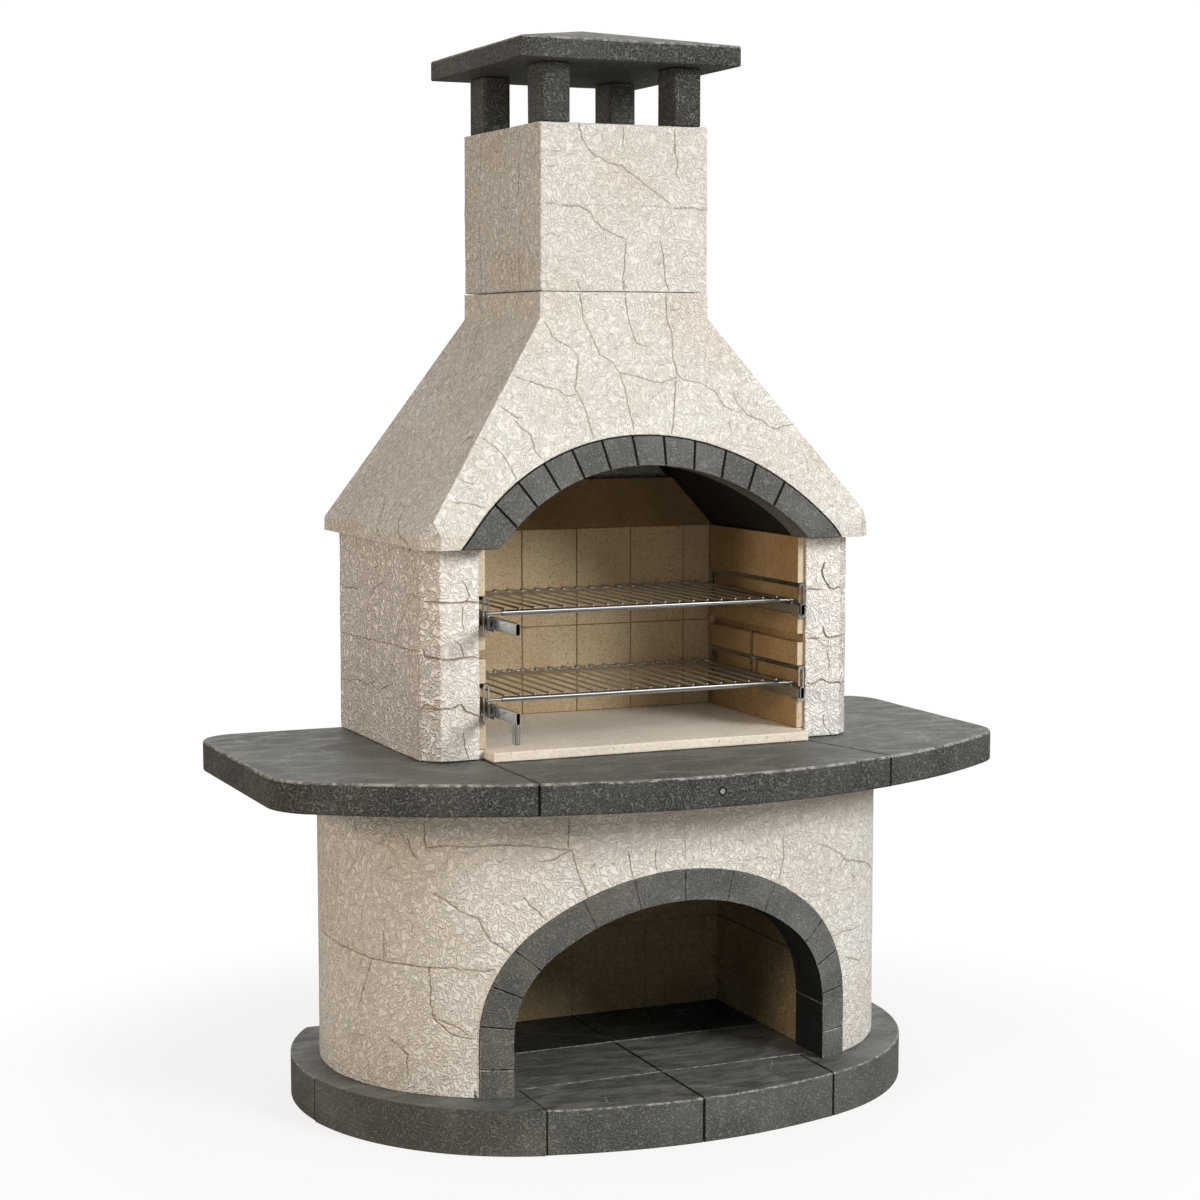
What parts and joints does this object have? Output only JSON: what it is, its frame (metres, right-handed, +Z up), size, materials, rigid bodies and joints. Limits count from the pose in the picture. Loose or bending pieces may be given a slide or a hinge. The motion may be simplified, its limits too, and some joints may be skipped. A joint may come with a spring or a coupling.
{
  "type": "outdoor masonry barbecue",
  "caption": "Free-standing cast-stone garden barbecue with an arched wood bay, wide worktop, firebrick hearth, sliding grills, arched hood and capped chimney.",
  "frame": {"origin": "centre of the bounding box on the ground, under the plinth", "axes": "+X to the right seen from the front, -Y towards the front, +Z up"},
  "size_m": [1.554, 0.908, 2.15],
  "materials": {
    "cast_stone": "rough cast, crazy-paving relief",
    "slate_concrete": "riven slate relief, satin",
    "firebrick": "matt fired clay",
    "smoke_concrete": "smooth cast, matt",
    "chromed_steel": "bright chromed",
    "plated_steel": "zinc plated"
  },
  "bodies": {
    "masonry": {"plinth_front_left": "slate_concrete", "plinth_front_right": "slate_concrete", "plinth_side_left": "slate_concrete", "plinth_side_right": "slate_concrete", "plinth_rear_left": "slate_concrete", "plinth_rear_right": "slate_concrete", "bay_tile_front_left": "slate_concrete", "bay_tile_front_right": "slate_concrete", "bay_tile_rear_left": "slate_concrete", "bay_tile_rear_right": "slate_concrete", "base_wall_front_left": "cast_stone", "base_wall_front_right": "cast_stone", "base_wall_rear_left": "cast_stone", "base_wall_rear_right": "cast_stone", "arch_leg_left": "slate_concrete", "arch_leg_right": "slate_concrete", "arch_quadrant_left": "slate_concrete", "arch_quadrant_right": "slate_concrete", "bay_side_left": "cast_stone", "bay_side_right": "cast_stone", "bay_back": "cast_stone", "worktop_left": "slate_concrete", "worktop_centre": "slate_concrete", "worktop_right": "slate_concrete", "worktop_screw": "plated_steel", "hearth_slab": "firebrick", "firebox_wall_left": "cast_stone", "firebox_wall_right": "cast_stone", "firebox_rear_wall": "cast_stone", "lining_panel_left": "firebrick", "lining_panel_right": "firebrick", "lining_bricks_lower": "firebrick", "lining_bricks_upper": "firebrick", "lining_top_brick": "firebrick", "hood_shell": "cast_stone", "hood_voussoirs": "slate_concrete", "smoke_guide_left": "smoke_concrete", "smoke_guide_right": "smoke_concrete", "chimney_ring_lower": "cast_stone", "chimney_ring_upper": "cast_stone", "cap_post_front_left": "slate_concrete", "cap_post_front_right": "slate_concrete", "cap_post_rear_left": "slate_concrete", "cap_post_rear_right": "slate_concrete", "cap_slab": "slate_concrete", "carrier_upper_left": "chromed_steel", "carrier_upper_right": "chromed_steel", "carrier_lower_left": "chromed_steel", "carrier_lower_right": "chromed_steel"},
    "upper_grill": {"grill_upper": "chromed_steel"},
    "lower_grill": {"grill_lower": "chromed_steel"},
    "upper_left_rail": {"rest_rail_upper_left": "chromed_steel"},
    "upper_right_rail": {"rest_rail_upper_right": "chromed_steel"},
    "lower_left_rail": {"rest_rail_lower_left": "chromed_steel"},
    "lower_right_rail": {"rest_rail_lower_right": "chromed_steel"}
  },
  "joints": [
    {"name": "upper_grill_slide", "type": "slide", "parent": "masonry", "child": "upper_grill", "axis": [0, -1, 0], "range_m": [0, 0.2]},
    {"name": "lower_grill_slide", "type": "slide", "parent": "masonry", "child": "lower_grill", "axis": [0, -1, 0], "range_m": [0, 0.2]},
    {"name": "upper_left_rail_slide", "type": "slide", "parent": "masonry", "child": "upper_left_rail", "axis": [0, 1, 0], "range_m": [0, 0.1]},
    {"name": "upper_right_rail_slide", "type": "slide", "parent": "masonry", "child": "upper_right_rail", "axis": [0, -1, 0], "range_m": [0, 0.1]},
    {"name": "lower_left_rail_slide", "type": "slide", "parent": "masonry", "child": "lower_left_rail", "axis": [0, 1, 0], "range_m": [0, 0.078]},
    {"name": "lower_right_rail_slide", "type": "slide", "parent": "masonry", "child": "lower_right_rail", "axis": [0, -1, 0], "range_m": [0, 0.1]}
  ]
}
